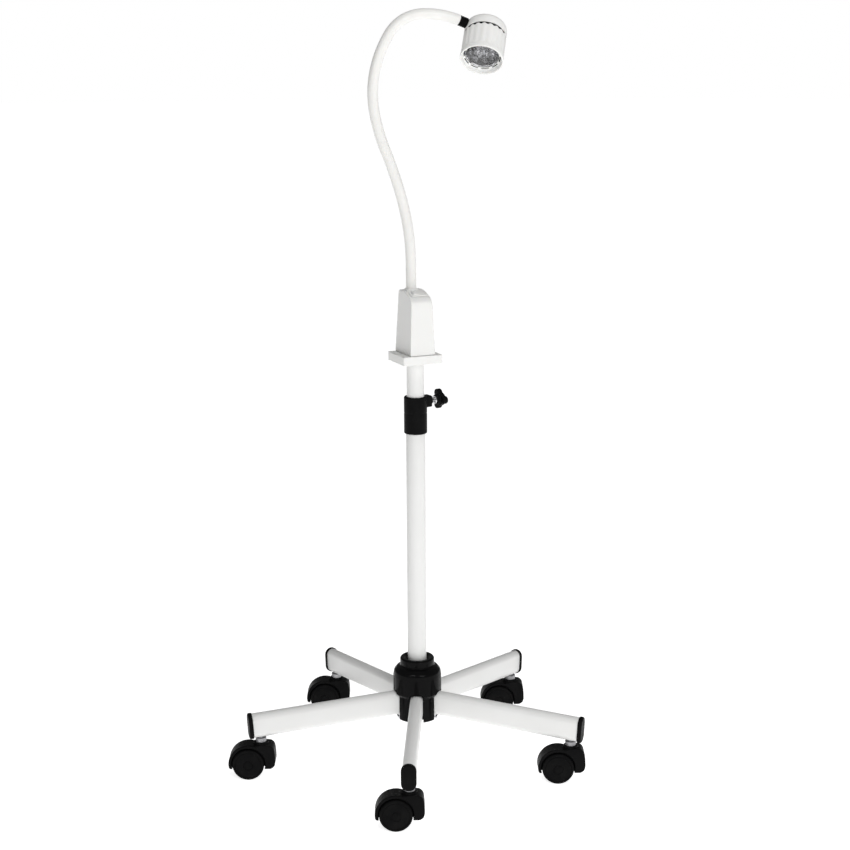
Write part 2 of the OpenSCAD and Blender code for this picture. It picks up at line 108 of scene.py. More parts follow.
# --------------------------------------------------------------------------
# materials: all procedural
# --------------------------------------------------------------------------
def material(name, color, rough, spec=0.5, metallic=0.0, coat=0.0, coat_rough=0.1, grain=None, orange=None,
             tint=None, rough_var=None, scratches=None, transmission=0.0, ior=1.5, sss=0.0, brushed=None):
    m = bpy.data.materials.new(name)
    m.use_nodes = True
    nt = m.node_tree
    b = nt.nodes["Principled BSDF"]
    b.inputs["Base Color"].default_value = (*color, 1)
    b.inputs["Roughness"].default_value = rough
    b.inputs["Specular IOR Level"].default_value = spec
    b.inputs["Metallic"].default_value = metallic
    b.inputs["Coat Weight"].default_value = coat
    b.inputs["Coat Roughness"].default_value = coat_rough
    b.inputs["Transmission Weight"].default_value = transmission
    b.inputs["IOR"].default_value = ior
    if sss:
        b.inputs["Subsurface Weight"].default_value = sss
        b.inputs["Subsurface Radius"].default_value = (0.004, 0.003, 0.002)
        b.inputs["Subsurface Scale"].default_value = 0.5
    co = nt.nodes.new("ShaderNodeTexCoord")
    L = nt.links.new

    def noise(scale, detail=4, rgh=0.55, stretch=None):
        n = nt.nodes.new("ShaderNodeTexNoise")
        n.inputs["Scale"].default_value = scale
        n.inputs["Detail"].default_value = detail
        n.inputs["Roughness"].default_value = rgh
        if stretch:
            mp = nt.nodes.new("ShaderNodeMapping")
            mp.inputs["Scale"].default_value = stretch
            L(co.outputs["Object"], mp.inputs["Vector"])
            L(mp.outputs["Vector"], n.inputs["Vector"])
        else:
            L(co.outputs["Object"], n.inputs["Vector"])
        return n

    def remap(src, a, c, lo, hi):
        r = nt.nodes.new("ShaderNodeMapRange")
        for k, v in zip(("From Min", "From Max", "To Min", "To Max"), (a, c, lo, hi)):
            r.inputs[k].default_value = v
        L(src, r.inputs["Value"])
        return r

    if tint:                     # (scale, darker colour, amount)
        n = noise(tint[0], 5)
        r = remap(n.outputs["Fac"], 0.42, 0.72, 0.0, tint[2])
        mix = nt.nodes.new("ShaderNodeMix")
        mix.data_type = "RGBA"
        mix.inputs["A"].default_value = (*color, 1)
        mix.inputs["B"].default_value = (*tint[1], 1)
        L(r.outputs["Result"], mix.inputs["Factor"])
        L(mix.outputs["Result"], b.inputs["Base Color"])
    if rough_var:                # (scale, low, high)
        n = noise(rough_var[0], 5, 0.6)
        r = remap(n.outputs["Fac"], 0.35, 0.7, rough_var[1], rough_var[2])
        if scratches:            # fine handling marks: (scale, added roughness)
            w = noise(scratches[0], 2, 0.5, (1, 1, 0.06))
            r2 = remap(w.outputs["Fac"], 0.62, 0.72, 0.0, scratches[1])
            add = nt.nodes.new("ShaderNodeMath")
            L(r.outputs["Result"], add.inputs[0])
            L(r2.outputs["Result"], add.inputs[1])
            L(add.outputs[0], b.inputs["Roughness"])
        else:
            L(r.outputs["Result"], b.inputs["Roughness"])
    last = None
    for spec_ in (orange, grain, brushed):   # (scale, strength, distance[, stretch])
        if not spec_:
            continue
        n = noise(spec_[0], 3, 0.5, spec_[3] if len(spec_) > 3 else None)
        bp = nt.nodes.new("ShaderNodeBump")
        bp.inputs["Strength"].default_value = spec_[1]
        bp.inputs["Distance"].default_value = spec_[2]
        L(n.outputs["Fac"], bp.inputs["Height"])
        if last:
            L(last.outputs["Normal"], bp.inputs["Normal"])
        last = bp
    if last:
        L(last.outputs["Normal"], b.inputs["Normal"])
    return m


M = {}
M["powder_white"] = material("powder_white", (0.80, 0.80, 0.79), 0.34, spec=0.42, tint=(9, (0.765, 0.765, 0.75), 0.6),
                             rough_var=(60, 0.28, 0.40), scratches=(420, 0.12), orange=(620, 0.16, 0.0006), grain=(2600, 0.05, 0.0002))
M["white_plastic"] = material("white_plastic", (0.80, 0.80, 0.785), 0.42, spec=0.4, tint=(14, (0.77, 0.768, 0.75), 0.55),
                              rough_var=(90, 0.36, 0.50), grain=(3400, 0.12, 0.00025), orange=(70, 0.03, 0.001), sss=0.04)
M["neck_white"] = material("neck_white", (0.79, 0.785, 0.765), 0.38, spec=0.42, tint=(22, (0.75, 0.742, 0.715), 0.6),
                           rough_var=(75, 0.30, 0.46), scratches=(380, 0.12), orange=(240, 0.06, 0.0006), grain=(2800, 0.06, 0.0002), sss=0.05)
M["black_gloss"] = material("black_gloss", (0.0035, 0.0035, 0.0037), 0.15, spec=0.05, coat=0.02, coat_rough=0.05, tint=(30, (0.006, 0.006, 0.006), 0.6),
                            rough_var=(120, 0.10, 0.20), scratches=(520, 0.08), orange=(190, 0.10, 0.0008))
M["black_matte"] = material("black_matte", (0.0040, 0.0040, 0.0042), 0.44, spec=0.045, tint=(40, (0.007, 0.007, 0.007), 0.6),
                            rough_var=(160, 0.38, 0.56), grain=(2300, 0.28, 0.0004))
M["black_wheel"] = material("black_wheel", (0.0042, 0.0042, 0.0044), 0.50, spec=0.04, tint=(55, (0.0085, 0.0083, 0.008), 0.7),
                            rough_var=(140, 0.42, 0.66), scratches=(300, 0.1), grain=(1800, 0.22, 0.0004))
M["steel"] = material("steel", (0.62, 0.62, 0.63), 0.24, metallic=1.0, tint=(60, (0.50, 0.50, 0.51), 0.6), rough_var=(200, 0.16, 0.34),
                      scratches=(600, 0.2), brushed=(900, 0.10, 0.0003, (1, 1, 0.1)))
M["core_steel"] = material("core_steel", (0.36, 0.36, 0.37), 0.42, metallic=1.0, tint=(60, (0.24, 0.24, 0.25), 0.7), rough_var=(150, 0.32, 0.55),
                           brushed=(1400, 0.12, 0.0003, (1, 1, 0.08)))
M["gray_plastic"] = material("gray_plastic", (0.20, 0.20, 0.205), 0.5, spec=0.35, tint=(40, (0.16, 0.16, 0.165), 0.6), rough_var=(120, 0.42, 0.6),
                             grain=(2500, 0.15, 0.0003))
M["reflector"] = material("reflector", (0.13, 0.13, 0.135), 0.06, metallic=1.0, tint=(110, (0.95, 0.95, 0.97), 1.0), rough_var=(260, 0.04, 0.12),
                          orange=(500, 0.04, 0.0004))
M["glass"] = material("glass", (1.0, 1.0, 1.0), 0.02, spec=0.5, transmission=1.0, ior=1.46, rough_var=(90, 0.0, 0.03), orange=(60, 0.008, 0.0005))
M["quartz"] = material("quartz", (0.97, 0.98, 1.0), 0.04, spec=0.5, transmission=1.0, ior=1.45, rough_var=(300, 0.02, 0.10), orange=(220, 0.03, 0.0004))
M["ceramic"] = material("ceramic", (0.74, 0.70, 0.62), 0.55, spec=0.4, tint=(90, (0.66, 0.62, 0.54), 0.6), rough_var=(200, 0.45, 0.65), grain=(1800, 0.15, 0.0003))
M["filament"] = material("filament", (0.30, 0.29, 0.28), 0.35, metallic=1.0, tint=(400, (0.16, 0.15, 0.15), 0.7), rough_var=(500, 0.25, 0.5))
# near-black matte used as painted shade inside the head's rear gap and behind its front slots
M["painted_gap_shade"] = material("painted_gap_shade", (0.004, 0.004, 0.004), 0.7, spec=0.15, tint=(80, (0.009, 0.009, 0.009), 0.6), rough_var=(200, 0.6, 0.8), grain=(1800, 0.1, 0.0003))


# --------------------------------------------------------------------------
# outline and mesh tools
# --------------------------------------------------------------------------
def fillet(pts, rad, closed=True, n=5):
    P = [Vector(p) for p in pts]
    N = len(P)
    out = []
    for i, b in enumerate(P):
        r = rad[i] if isinstance(rad, (list, tuple)) else rad
        if r <= 0 or (not closed and i in (0, N - 1)):
            out.append(b)
            continue
        a, c = P[i - 1], P[(i + 1) % N]
        u, w = a - b, c - b
        lu, lw = u.length, w.length
        u, w = u / lu, w / lw
        ang = u.angle(w)
        if ang > 3.10:
            out.append(b)
            continue
        d = min(r / math.tan(ang / 2), lu * 0.47, lw * 0.47)
        rr = d * math.tan(ang / 2)
        cc = b + (u + w).normalized() * (rr / math.sin(ang / 2))
        p0, p1 = b + u * d, b + w * d
        a0 = math.atan2(p0.y - cc.y, p0.x - cc.x)
        a1 = math.atan2(p1.y - cc.y, p1.x - cc.x)
        da = (a1 - a0 + PI) % (2 * PI) - PI
        for k in range(n + 1):
            t = a0 + da * k / n
            out.append(Vector((cc.x + rr * math.cos(t), cc.y + rr * math.sin(t))))
    return out


def offset(pts, d):
    n = len(pts)
    out = []
    for i in range(n):
        a, b, c = pts[i - 1], pts[i], pts[(i + 1) % n]
        u, w = (b - a), (c - b)
        if u.length < 1e-9:
            u = w
        if w.length < 1e-9:
            w = u
        u, w = u.normalized(), w.normalized()
        nu, nw = Vector((-u.y, u.x)), Vector((-w.y, w.x))
        m = nu + nw
        if m.length < 1e-6:
            m = nu
        m.normalize()
        out.append(b + m * (d / max(0.4, m.dot(nu))))
    return out


def circle(r, n=64, x=0, y=0, a0=0.0):
    return [Vector((x + r * math.cos(a0 + 2 * PI * k / n), y + r * math.sin(a0 + 2 * PI * k / n))) for k in range(n)]


def stadium(w, h, n=16):
    r = w / 2
    s = (h - w) / 2
    pts = [Vector((r * math.cos(t), s + r * math.sin(t))) for t in [PI * k / n for k in range(n + 1)]]
    pts += [Vector((r * math.cos(t), -s + r * math.sin(t))) for t in [PI + PI * k / n for k in range(n + 1)]]
    return pts


def rect(w, h, r=0, n=5, x=0, y=0):
    p = [(x - w / 2, y - h / 2), (x + w / 2, y - h / 2), (x + w / 2, y + h / 2), (x - w / 2, y + h / 2)]
    return fillet(p, r, True, n) if r > 0 else [Vector(q) for q in p]


def loft(bm, rings, cap0=True, cap1=True, loop=False):
    rows = [[bm.verts.new(p) for p in ring] for ring in rings]
    n = len(rows[0])
    pairs = list(zip(rows[:-1], rows[1:]))
    if loop:
        pairs.append((rows[-1], rows[0]))
    for a, b in pairs:
        for i in range(n):
            j = (i + 1) % n
            bm.faces.new((a[i], a[j], b[j], b[i]))
    if not loop:
        if cap0:
            bm.faces.new(list(reversed(rows[0])))
        if cap1:
            bm.faces.new(rows[-1])


def prism(bm, outline, z0, z1, r0=0.0, r1=0.0, Mx=Matrix(), n=4, inset=0.25, crown=0.0):
    """outline (counter-clockwise) swept from z0 to z1, its end edges rounded by r0 and r1"""
    rings = []

    def ring(d, z):
        o = offset(outline, d) if d > 1e-9 else outline
        rings.append([Mx @ Vector((p.x, p.y, z)) for p in o])

    if r0 > 0:
        ring(r0 + inset, z0)
        for k in range(n + 1):
            a = PI / 2 * k / n
            ring(r0 * (1 - math.sin(a)), z0 + r0 * (1 - math.cos(a)))
    else:
        ring(0, z0)
    if r1 > 0:
        for k in range(n + 1):
            a = PI / 2 * k / n
            ring(r1 * (1 - math.cos(a)), z1 - r1 * (1 - math.sin(a)))
        ring(r1 + inset, z1 + crown * 0.3)
    else:
        ring(0, z1)
    loft(bm, rings)


def lathe(bm, prof, n=96, Mx=Matrix(), closed=False, radial=None):
    """prof: (r, z) pairs. Open profiles start and end on the axis; closed ones make a ring."""
    rows = []
    for r, z in prof:
        if r < 1e-6:
            rows.append([bm.verts.new(Mx @ Vector((0, 0, z)))])
        else:
            row = []
            for k in range(n):
                a = 2 * PI * k / n
                rr = radial(a, r, z) if radial else r
                zz = z
                if isinstance(rr, tuple):
                    rr, zz = rr
                row.append(bm.verts.new(Mx @ Vector((rr * math.cos(a), rr * math.sin(a), zz))))
            rows.append(row)
    pairs = list(zip(rows[:-1], rows[1:]))
    if closed:
        pairs.append((rows[-1], rows[0]))
    for a, b in pairs:
        if len(a) == 1 and len(b) == 1:
            continue
        for i in range(n):
            j = (i + 1) % n
            if len(a) == 1:
                bm.faces.new((a[0], b[j], b[i]))
            elif len(b) == 1:
                bm.faces.new((a[i], a[j], b[0]))
            else:
                bm.faces.new((a[i], a[j], b[j], b[i]))


def rprof(pts, rad, n=4, closed=False):
    """a lathe profile with its corners rounded"""
    return [(p.x, p.y) for p in fillet(pts, rad, closed, n)]


def to_object(name, bm):
    bmesh.ops.remove_doubles(bm, verts=bm.verts, dist=1e-5)
    bmesh.ops.recalc_face_normals(bm, faces=bm.faces)
    me = bpy.data.meshes.new(name)
    bm.to_mesh(me)
    bm.free()
    o = bpy.data.objects.new(name, me)
    bpy.context.scene.collection.objects.link(o)
    return o


def applied(o):
    bpy.context.view_layer.update()
    dg = bpy.context.evaluated_depsgraph_get()
    me = bpy.data.meshes.new_from_object(o.evaluated_get(dg))
    old = o.data
    o.modifiers.clear()
    o.data = me
    bpy.data.meshes.remove(old)
    return o


def boolean(o, other, op="DIFFERENCE", keep=False):
    md = o.modifiers.new("b", "BOOLEAN")
    md.operation = op
    md.solver = "EXACT"
    md.object = other
    md.use_self = False
    applied(o)
    if not keep:
        bpy.data.objects.remove(other)
    return o


def shape(name, build):
    bm = bmesh.new()
    build(bm)
    return to_object(name, bm)


def weighted(o):
    md = o.modifiers.new("wn", "WEIGHTED_NORMAL")
    md.mode = "FACE_AREA"
    md.weight = 50
    md.keep_sharp = True
    return applied(o)


def tidy(o, merge=0.004):
    bm = bmesh.new()
    bm.from_mesh(o.data)
    bmesh.ops.remove_doubles(bm, verts=bm.verts, dist=merge)
    bmesh.ops.dissolve_degenerate(bm, dist=0.003, edges=bm.edges)
    bm.to_mesh(o.data)
    bm.free()


def soften(o, width, segments=2, angle=40):
    md = o.modifiers.new("bev", "BEVEL")
    md.width = width
    md.segments = segments
    md.limit_method = "ANGLE"
    md.angle_limit = math.radians(angle)
    md.use_clamp_overlap = True
    md.harden_normals = False
    return applied(o)


def finish_piece(o, mat, body, nodes=(), sharp=32, blend=None, weigh=False):
    me = o.data
    me.transform(Matrix.Scale(0.001, 4))
    me.materials.clear()
    me.materials.append(M[mat])
    me.shade_smooth()
    me.set_sharp_from_angle(angle=math.radians(sharp))
    if weigh:
        weighted(o)
    if blend:
        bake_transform(o)
    else:
        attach(o, body)
    if nodes:
        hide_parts(*nodes)
    return o


def piece(name, build, mat, body, nodes=(), sharp=32, blend=None):
    return finish_piece(shape(name, build), mat, body, nodes, sharp, blend)


# --------------------------------------------------------------------------
# camera
# --------------------------------------------------------------------------
CAM_YAW, CAM_ROLL, CAM_PITCH = -0.0055, -0.0054, 0.2191
c, s = math.cos(CAM_YAW), math.sin(CAM_YAW)
right, flat = Vector((c, s, 0)), Vector((-s, c, 0))
fwd = flat * math.cos(CAM_PITCH) - Vector((0, 0, 1)) * math.sin(CAM_PITCH)
up = flat * math.sin(CAM_PITCH) + Vector((0, 0, 1)) * math.cos(CAM_PITCH)
cr, sr = math.cos(CAM_ROLL), math.sin(CAM_ROLL)
rx = right * cr + up * sr
uy = up * cr - right * sr
cam_data = bpy.data.cameras.new("camera")
cam_data.lens = 73.99
cam_data.sensor_width = 36
cam_data.clip_end = 60
cam = bpy.data.objects.new("camera", cam_data)
bpy.context.scene.collection.objects.link(cam)
cm = Matrix.Identity(4)
for i in range(3):
    cm[i][0], cm[i][1], cm[i][2] = rx[i], uy[i], -fwd[i]
cm.translation = Vector((MX / 1000, MY / 1000 - 2.6515, 1.1435))
cam.matrix_world = cm
bpy.context.scene.camera = cam

# --------------------------------------------------------------------------
# base: hub, legs, caps
# --------------------------------------------------------------------------
HUB = [(0, 73), (33, 73), (34.5, 74.5), (34.5, 112.5), (38.5, 117.2), (38.5, 144.5), (37.4, 153.0), (32.6, 158.6), (27.9, 160.6),
       (26.9, 162.6), (27.3, 167.0), (27.3, 172.0), (25.6, 174.0), (21.5, 174.0), (18.6, 172.6), (16.6, 170.6), (15.05, 169.6), (15.05, 168), (0, 168)]
HUB_R = [0, 1.2, 1.2, 2.0, 1.6, 9, 9, 5, 1.6, 1.4, 6, 1.6, 1.4, 1.4, 2, 1.5, 0.4, 0, 0]


def build_hub(bm):
    prof, base = [], rprof(HUB, HUB_R, 5)
    for a, b in zip(base[:-1], base[1:]):
        prof.append(a)
        n = int(abs(b[1] - a[1]) / 3.0)
        prof += [(a[0] + (b[0] - a[0]) * j / (n + 1), a[1] + (b[1] - a[1]) * j / (n + 1)) for j in range(1, n + 1)]
    prof.append(base[-1])
    lathe(bm, prof, 144, MAST)


hub = shape("stand_hub", build_hub)
for k in range(5):
    def cutter(bm, k=k):
        o = fillet([(-10.9, -60), (10.9, -60), (10.9, 10.2), (10.9, 20.9), (-10.9, 20.9), (-10.9, 10.2)], [0, 0, 0, 10.6, 10.6, 0], True, 10)
        prism(bm, o, 20, 70, 0, 0, leg_frame(k) @ R(90, "Z") @ R(90, "X"))
    boolean(hub, shape("cut", cutter))
tidy(hub)
finish_piece(hub, "black_gloss", "base", ("hub",), sharp=34, weigh=True)


def build_legs(bm):
    for k in range(5):
        F = leg_frame(k) @ R(90, "Z") @ R(90, "X")
        prism(bm, stadium(20, 40, 18), 21, 270.2, 0, 0.6, F, 2)


piece("leg_tubes", build_legs, "powder_white", "base", ("legs",), sharp=40)


def build_caps(bm):
    for k in range(5):
        F = leg_frame(k) @ R(90, "Z") @ R(90, "X")
        prism(bm, stadium(23.2, 42.6, 20), 269.6, 276, 0.5, 2.2, F, 5, crown=0.6)
        prism(bm, stadium(16.7, 36.7, 14), 244, 270, 0, 0, F)


piece("leg_tips", build_caps, "black_matte", "base", ("leg_end_caps",), sharp=34)


def build_outer(bm):
    prof = rprof([(0, 78.2), (15, 78.2), (15, 577.9), (13.7, 577.9), (13.7, 250), (0, 250)], [0, 0.4, 0.4, 0.3, 0, 0], 2)
    lathe(bm, prof, 96, MAST)


piece("mast_outer", build_outer, "powder_white", "base", ("outer_tube",))


def build_inner(bm):
    prof = rprof([(0, 330), (13.5, 330), (13.5, 678.4), (12.3, 678.4), (12.3, 420), (0, 420)], [0, 0.4, 0.3, 0.3, 0, 0], 2)
    lathe(bm, prof, 96, MAST)


piece("mast_inner", build_inner, "powder_white", "mast", ("inner_tube",))

# --------------------------------------------------------------------------
# clamp collar, screw and knob
# --------------------------------------------------------------------------
CZ = 541


def build_collar(bm):
    prof = rprof([(13.62, CZ + 37.1), (15.1, CZ + 37.1), (15.1, CZ), (17.4, CZ), (18.0, CZ + 1), (18.0, CZ + 30), (17.7, CZ + 32), (18.0, CZ + 34), (18.0, CZ + 56.6),
                  (17.0, CZ + 58), (13.62, CZ + 58)], [0, 0, 0.4, 0.7, 0.5, 0.3, 0.5, 0.3, 1.2, 0.8, 0.6], 3, True)
    lathe(bm, prof, 96, MAST, closed=True)
    prism(bm, rect(18, 16.2, 2.6, 5), 14.8, 26.6, 0, 1.8, CLAMP, 4)
    prism(bm, circle(6.4, 48), 26.2, 28.6, 0, 0.7, CLAMP, 3)


piece("clamp_sleeve", build_collar, "black_matte", "base", ("clamp_collar",), sharp=34)


def build_screw(bm):
    prof = [(0, 16.6)]
    z = 17.0
    while z < 33.0:
        prof += [(3.45, z), (3.98, z + 0.45), (3.98, z + 0.62), (3.45, z + 1.07)]
        z += 1.25
    prof += [(3.9, 33.5), (5.9, 33.6), (6.45, 34.1), (6.45, 35.8), (5.9, 36.35), (0, 36.35)]
    lathe(bm, prof, 48, CLAMP)


piece("clamp_stud", build_screw, "steel", "clamp_knob", ("clamp_screw",), sharp=38)


def knob_outline(base=10.4, D=10.8, q=6.2, n=180):
    rr = []
    for i in range(n):
        a = 2 * PI * i / n
        best = base
        for la in (60, 180, 300):
            f = a - math.radians(la + 90)
            sx = D * math.sin(f)
            if abs(sx) <= q and math.cos(f) > 0:
                best = max(best, D * math.cos(f) + math.sqrt(q * q - sx * sx))
        rr.append(best)
    for _ in range(5):
        rr = [(rr[i - 1] + 2 * rr[i] + rr[(i + 1) % n]) / 4 for i in range(n)]
    return [Vector((r * math.cos(2 * PI * i / n), r * math.sin(2 * PI * i / n))) for i, r in enumerate(rr)]


def build_knob(bm):
    prism(bm, knob_outline(), 42.0, 51.0, 1.4, 2.6, CLAMP, 5)
    lathe(bm, rprof([(0, 36.6), (7.2, 36.6), (8.0, 37.6), (8.0, 40.8), (9.2, 42.4), (9.2, 44), (0, 44)], [0, 0.5, 0.5, 1.2, 0.6, 0, 0], 3), 64, CLAMP)
    lathe(bm, rprof([(0, 50), (6.6, 50), (6.6, 51.3), (5.6, 51.9), (0, 51.9)], [0, 0, 0.5, 0.4, 0], 3), 64, CLAMP)


piece("clamp_grip", build_knob, "black_matte", "clamp_knob", ("clamp_knob",), sharp=36)

# --------------------------------------------------------------------------
# housing on its plate
# --------------------------------------------------------------------------
plate = shape("deck_plate", lambda bm: prism(bm, rect(65, 65, 3.2, 6), PLATE_Z, PLATE_Z + 13.5, 0.9, 1.1, UPPER, 4))
boolean(plate, shape("cut", lambda bm: prism(bm, circle(14.5, 72), PLATE_Z - 2, PLATE_Z + 3.2, 0, 0, UPPER)))
finish_piece(plate, "white_plastic", "housing", ("base_plate",), sharp=30, weigh=True)


def side_profile(g):
    b = BOX_Z + 0.15 - (g > 0) * 6
    t = TOP_Z
    p = [(-29.6 + g, b), (32.3 - g, b), (28.2 - g, t - 7 - 0.3 * g), (27.0 - 0.9 * g, t - 2.4 - 0.6 * g), (24 - 0.4 * g, t - 0.3 - 0.9 * g),
         (14, t - g), (4, t - 1.6 - g), (-8, t - 5.2 - g), (-18 + 0.4 * g, t - 9.8 - 0.9 * g),
         (-23.6 + 0.8 * g, t - 14.6 - 0.5 * g), (-25.3 + g, t - 22 - 0.3 * g)]
    return fillet(p, [0, 0, 14, 5, 8, 40, 60, 60, 14, 9, 20], True, 6)


def front_profile(g):
    b = BOX_Z - 1 - (g > 0) * 8
    t = TOP_Z
    p = [(-21.2 + g, b), (19.9 - g, b), (17.9 - g, t - 22), (17.4 - g, t - 2.2), (15.2 - 0.5 * g, t + 2.2), (-14.6 + 0.5 * g, t + 2.2), (-16.8 + g, t - 2.2), (-17.4 + g, t - 22)]
    return [Vector((q.x + BOX_X, q.y)) for q in fillet(p, [0, 0, 30, 3, 1, 1, 3, 30], True, 4)]


def side_prism(g):
    def f(bm):
        prism(bm, side_profile(g), -60, 60, 0, 0, UPPER @ R(90, "Z") @ R(90, "X"))
    return shape("side", f)


def front_prism(g):
    def f(bm):
        prism(bm, front_profile(g), -60, 60, 0, 0, UPPER @ R(90, "X"))
    return shape("front", f)


shell = boolean(side_prism(0), front_prism(0), "INTERSECT")
inner = boolean(side_prism(2.6), front_prism(2.6), "INTERSECT")
boolean(inner, shape("keep", lambda bm: prism(bm, circle(11.5, 48), TOP_Z - 14, TOP_Z + 6, 0, 0, NECK)))
boolean(shell, inner)
shell.name = "transformer_cover"
md = shell.modifiers.new("r", "REMESH")
md.mode = "VOXEL"
md.voxel_size = 0.75
md = shell.modifiers.new("s", "SMOOTH")
md.factor = 0.5
md.iterations = 9
applied(shell)
# moulded rim that the neck stands in
rim = shape("rim", lambda bm: lathe(bm, rprof([(7.6, TOP_Z - 6), (10.6, TOP_Z - 6), (10.4, TOP_Z + 0.2), (9.6, TOP_Z + 1.3), (8.15, TOP_Z + 1.5), (7.6, TOP_Z + 1.0)],
                                                  [0, 0, 0.8, 0.8, 0.4, 0.2], 4, True), 72, NECK, closed=True))
boolean(shell, rim, "UNION")
boolean(shell, shape("cut", lambda bm: prism(bm, rect(24.4, 12.5, 0.6, 3), -14, 12, 0, 0, SWITCH)))
boolean(shell, shape("cut", lambda bm: prism(bm, circle(2.15, 32), TOP_Z - 3.0, TOP_Z + 6, 0, 0, UPPER @ T(-12.4, 8, 0))))
boolean(shell, shape("cut", lambda bm: prism(bm, circle(5.5, 40), 10, 60, 0, 0, UPPER @ T(BOX_X, 0, BOX_Z + 13) @ R(-90, "X"))))
finish_piece(shell, "white_plastic", "housing", ("housing_shell",), sharp=38)

sw = shape("switch_body", lambda bm: prism(bm, rect(23.9, 12.0, 0.8, 3), -10.9, 0.9, 0.2, 0, SWITCH))
boolean(sw, shape("f", lambda bm: prism(bm, rect(27, 15, 1.6, 5), 0.0, 1.6, 0.1, 0.7, SWITCH, 4)), "UNION")
boolean(sw, shape("cut", lambda bm: prism(bm, rect(21.2, 10.4, 0.5, 3), -9, 5, 0, 0, SWITCH)))
finish_piece(sw, "white_plastic", "housing", ("switch_frame",), sharp=30, weigh=True)


def build_rocker(bm):
    c0, sl, rho = 2.9, math.tan(math.radians(7)), 10.5
    xe = (-2 * c0 * sl + math.sqrt((2 * c0 * sl) ** 2 - 4 * (1 + sl * sl) * (c0 * c0 - rho * rho))) / (2 * (1 + sl * sl))
    a_top = math.atan2(c0 + sl * xe, xe)
    a_bot = math.asin(-2.6 / rho)
    pts = []
    for k in range(9):                                  # left end, downwards
        a = PI - (a_top + (a_bot - a_top) * k / 8)
        pts.append((rho * math.cos(a), rho * math.sin(a)))
    for k in range(9):                                  # right end, upwards
        a = a_bot + (a_top - a_bot) * k / 8
        pts.append((rho * math.cos(a), rho * math.sin(a)))
    for k in range(1, 16):                              # dished top, right to left
        x = xe - 2 * xe * k / 16
        pts.append((x, c0 + sl * math.sqrt(x * x + 2.0) - 0.02))
    prism(bm, [Vector(p) for p in pts], -5.0, 5.0, 0.45, 0.45, SWITCH @ T(0, 0, -1) @ R(7, "Y") @ R(90, "X"), 3, inset=0.1)


piece("switch_key", build_rocker, "white_plastic", "rocker", ("switch_rocker",), sharp=36)


def build_gland(bm):
    F = UPPER @ T(BOX_X, 0, BOX_Z + 13) @ R(-90, "X")
    prof = rprof([(3.5, 25), (5.3, 25), (5.3, 31.4), (7.9, 31.6), (7.9, 33.4), (5.9, 35.4), (5.0, 36.9), (3.5, 36.9)], [0.2, 0.3, 0.3, 0.4, 0.7, 1.2, 0.6, 0.5], 4, True)
    lathe(bm, prof, 56, F, closed=True)


piece("cord_grommet", build_gland, "black_matte", "housing", ("cable_gland",), sharp=36)

# --------------------------------------------------------------------------
# gooseneck sleeve: each length follows the curve over one joint
# --------------------------------------------------------------------------
NR = 8.0
NSEG = 48


def neck_ring(p, phi, r):
    a = math.radians(phi)
    nx, nz = math.cos(a), -math.sin(a)
    out = []
    for k in range(NSEG):
        t = 2 * PI * k / NSEG
        out.append(NECK @ Vector((p[0] + r * math.cos(t) * nx, r * math.sin(t), p[1] + r * math.cos(t) * nz)))
    return out


def neck_at(i, s):
    """point and heading at length s into section i (1 to 8)"""
    return arc_from(PIV[i - 1], HEAD[i - 1], TURNS[i - 1], s)


def neck_piece(i):
    """sleeve length i: 0 is over the first joint, 8 is the free end"""
    def f(bm):
        rings = []
        if i == 0:
            z = TOP_Z - 17
            while z < PIV[0][1] - 0.1:
                rings.append(neck_ring((0, z), 0, NR))
                z += 2.5
            rings.append(neck_ring(PIV[0], 0, NR))
        else:
            k0 = 0 if i < 9 else 0
            for k in range(13):
                p, h = neck_at(i, SEC / 2 + SEC / 2 * k / 12)
                if i == 8 and k == 12:
                    rings.append(neck_ring(neck_at(8, SEC - 0.9)[0], neck_at(8, SEC - 0.9)[1], NR))
                    rings.append(neck_ring(neck_at(8, SEC - 0.3)[0], neck_at(8, SEC - 0.3)[1], NR - 0.25))
                    rings.append(neck_ring(p, h, NR - 0.85))
                elif not (i == 8 and k == 13):
                    rings.append(neck_ring(p, h, NR))
        if i < 8:
            for k in range(1, 13):
                p, h = neck_at(i + 1, SEC / 2 * k / 12)
                rings.append(neck_ring(p, h, NR))
        loft(bm, rings)
    return f


bodies = ["housing"] + ["neck_%d" % k for k in range(1, 9)]
for i in range(9):
    name = "neck_sleeve_%d" % i
    node = "neck_base" if i == 0 else "neck_section_%d" % i
    if i == 8:
        piece(name, neck_piece(i), "neck_white", "neck_8", (node,), sharp=40)
        continue
    a = math.radians(HEAD[i])
    pv = PIV[i]
    d = 25.0
    st = NECK @ Vector((pv[0] - d * math.sin(a), 0, pv[1] - d * math.cos(a)))
    en = NECK @ Vector((pv[0] + d * math.sin(a), 0, pv[1] + d * math.cos(a)))
    piece(name, neck_piece(i), "neck_white", None, (node,), sharp=40, blend=(bodies[i], bodies[i + 1], tuple(st * 0.001), tuple(en * 0.001)))

# --------------------------------------------------------------------------
# head
# --------------------------------------------------------------------------
PIN = LAMP @ R(90, "Y")


def build_swivel(bm):
    prof = [(0, -SWL + 0.3), (6.2, -SWL + 0.3)]
    z = -SWL + 0.4
    for i in range(4):
        prof += [(6.9, z), (7.75, z + 0.25), (8.0, z + 0.6), (8.0, z + 1.75), (7.75, z + 2.1), (6.9, z + 2.35), (6.7, z + 2.7), (6.7, z + 2.95)]
        z += 3.3
    prof += [(6.9, z), (6.9, -SWL + 18.9), (0, -SWL + 18.9)]
    lathe(bm, prof, 72, PIN)


piece("swivel_bush", build_swivel, "black_matte", "head", ("swivel_sleeve",), sharp=38)

